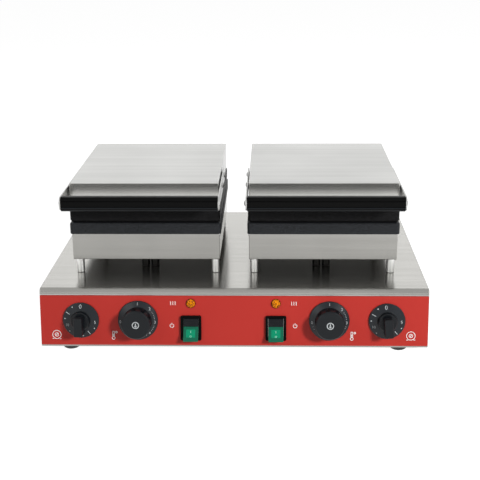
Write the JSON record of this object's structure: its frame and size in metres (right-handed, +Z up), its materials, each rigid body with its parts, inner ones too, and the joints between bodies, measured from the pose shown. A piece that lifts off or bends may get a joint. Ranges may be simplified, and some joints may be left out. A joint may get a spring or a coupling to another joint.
{
  "type": "double belgian waffle maker",
  "caption": "Countertop double waffle maker: two hinged cast iron waffle heads with bar handles on one steel base with timers, thermostats, rocker switches and pilot lamps.",
  "frame": {"origin": "on the table, under the middle of the whole machine's box", "axes": "+X to the machine's right seen from the front, +Y to the back, +Z up"},
  "size_m": [0.58, 0.4574, 0.247],
  "materials": {
    "brushed_steel": "brushed stainless steel sheet",
    "polished_steel": "polished stainless steel, turned",
    "blackened_steel": "blackened steel tube, oiled",
    "heater_steel": "heat-tinted steel heater sheath",
    "red_paint": "satin red printed front",
    "black_plastic": "black moulded phenolic, satin",
    "cast_iron": "seasoned cast iron",
    "rubber": "moulded black rubber",
    "ceramic": "white ceramic terminal block",
    "amber_lens": "amber faceted lens",
    "green_lens": "green translucent rocker",
    "mineral_wool": "mineral wool mat"
  },
  "bodies": {
    "base": {"base_shell": "brushed_steel", "bottom_plate": "brushed_steel", "front_panel": "red_paint", "terminal_block": "ceramic", "cord_gland": "black_plastic", "foot_front_left": "rubber", "foot_front_right": "rubber", "foot_rear_left": "rubber", "foot_rear_right": "rubber", "left_timer_body": "brushed_steel", "left_thermostat_body": "brushed_steel", "left_switch_frame": "black_plastic", "left_pilot_lamp": "amber_lens", "left_leg_front_left": "polished_steel", "left_leg_front_right": "polished_steel", "left_leg_rear_left": "polished_steel", "left_leg_rear_right": "polished_steel", "left_heater_wire_tube": "blackened_steel", "left_sensor_wire_tube": "blackened_steel", "left_lower_housing": "brushed_steel", "left_lower_heater": "heater_steel", "left_lower_plate": "cast_iron", "left_hinge_pin": "polished_steel", "right_timer_body": "brushed_steel", "right_thermostat_body": "brushed_steel", "right_switch_frame": "black_plastic", "right_pilot_lamp": "amber_lens", "right_leg_front_left": "polished_steel", "right_leg_front_right": "polished_steel", "right_leg_rear_left": "polished_steel", "right_leg_rear_right": "polished_steel", "right_heater_wire_tube": "blackened_steel", "right_sensor_wire_tube": "blackened_steel", "right_lower_housing": "brushed_steel", "right_lower_heater": "heater_steel", "right_lower_plate": "cast_iron", "right_hinge_pin": "polished_steel"},
    "left_lid": {"left_upper_plate": "cast_iron", "left_upper_heater": "heater_steel", "left_insulation_mat": "mineral_wool", "left_upper_cover": "brushed_steel", "left_right_arm": "brushed_steel", "left_left_arm": "brushed_steel", "left_handle_bar": "black_plastic"},
    "left_timer": {"left_timer_knob": "black_plastic"},
    "left_thermostat": {"left_thermostat_knob": "black_plastic"},
    "left_rocker": {"left_rocker": "green_lens"},
    "right_lid": {"right_upper_plate": "cast_iron", "right_upper_heater": "heater_steel", "right_insulation_mat": "mineral_wool", "right_upper_cover": "brushed_steel", "right_right_arm": "brushed_steel", "right_left_arm": "brushed_steel", "right_handle_bar": "black_plastic"},
    "right_timer": {"right_timer_knob": "black_plastic"},
    "right_thermostat": {"right_thermostat_knob": "black_plastic"},
    "right_rocker": {"right_rocker": "green_lens"}
  },
  "joints": [
    {"name": "left_lid_hinge", "type": "hinge", "parent": "base", "child": "left_lid", "pos_m": [-0.135, 0.14944, 0.18455], "axis": [-1, 0, 0], "range_deg": [0, 100]},
    {"name": "left_timer_turn", "type": "hinge", "parent": "base", "child": "left_timer", "pos_m": [-0.228, -0.19967, 0.05355], "axis": [0, 0.9916, -0.1296], "range_deg": [0, 300]},
    {"name": "left_thermostat_turn", "type": "hinge", "parent": "base", "child": "left_thermostat", "pos_m": [-0.1425, -0.19967, 0.05355], "axis": [0, 0.9916, -0.1296], "range_deg": [0, 270]},
    {"name": "left_rocker_press", "type": "hinge", "parent": "base", "child": "left_rocker", "pos_m": [-0.0633, -0.19868, 0.04182], "axis": [1, 0, 0], "range_deg": [0, 16]},
    {"name": "right_lid_hinge", "type": "hinge", "parent": "base", "child": "right_lid", "pos_m": [0.135, 0.14944, 0.18455], "axis": [-1, 0, 0], "range_deg": [0, 100]},
    {"name": "right_timer_turn", "type": "hinge", "parent": "base", "child": "right_timer", "pos_m": [0.228, -0.19967, 0.05355], "axis": [0, 0.9916, -0.1296], "range_deg": [0, 300]},
    {"name": "right_thermostat_turn", "type": "hinge", "parent": "base", "child": "right_thermostat", "pos_m": [0.1425, -0.19967, 0.05355], "axis": [0, 0.9916, -0.1296], "range_deg": [0, 270]},
    {"name": "right_rocker_press", "type": "hinge", "parent": "base", "child": "right_rocker", "pos_m": [0.0633, -0.19868, 0.04182], "axis": [1, 0, 0], "range_deg": [0, 16]}
  ]
}
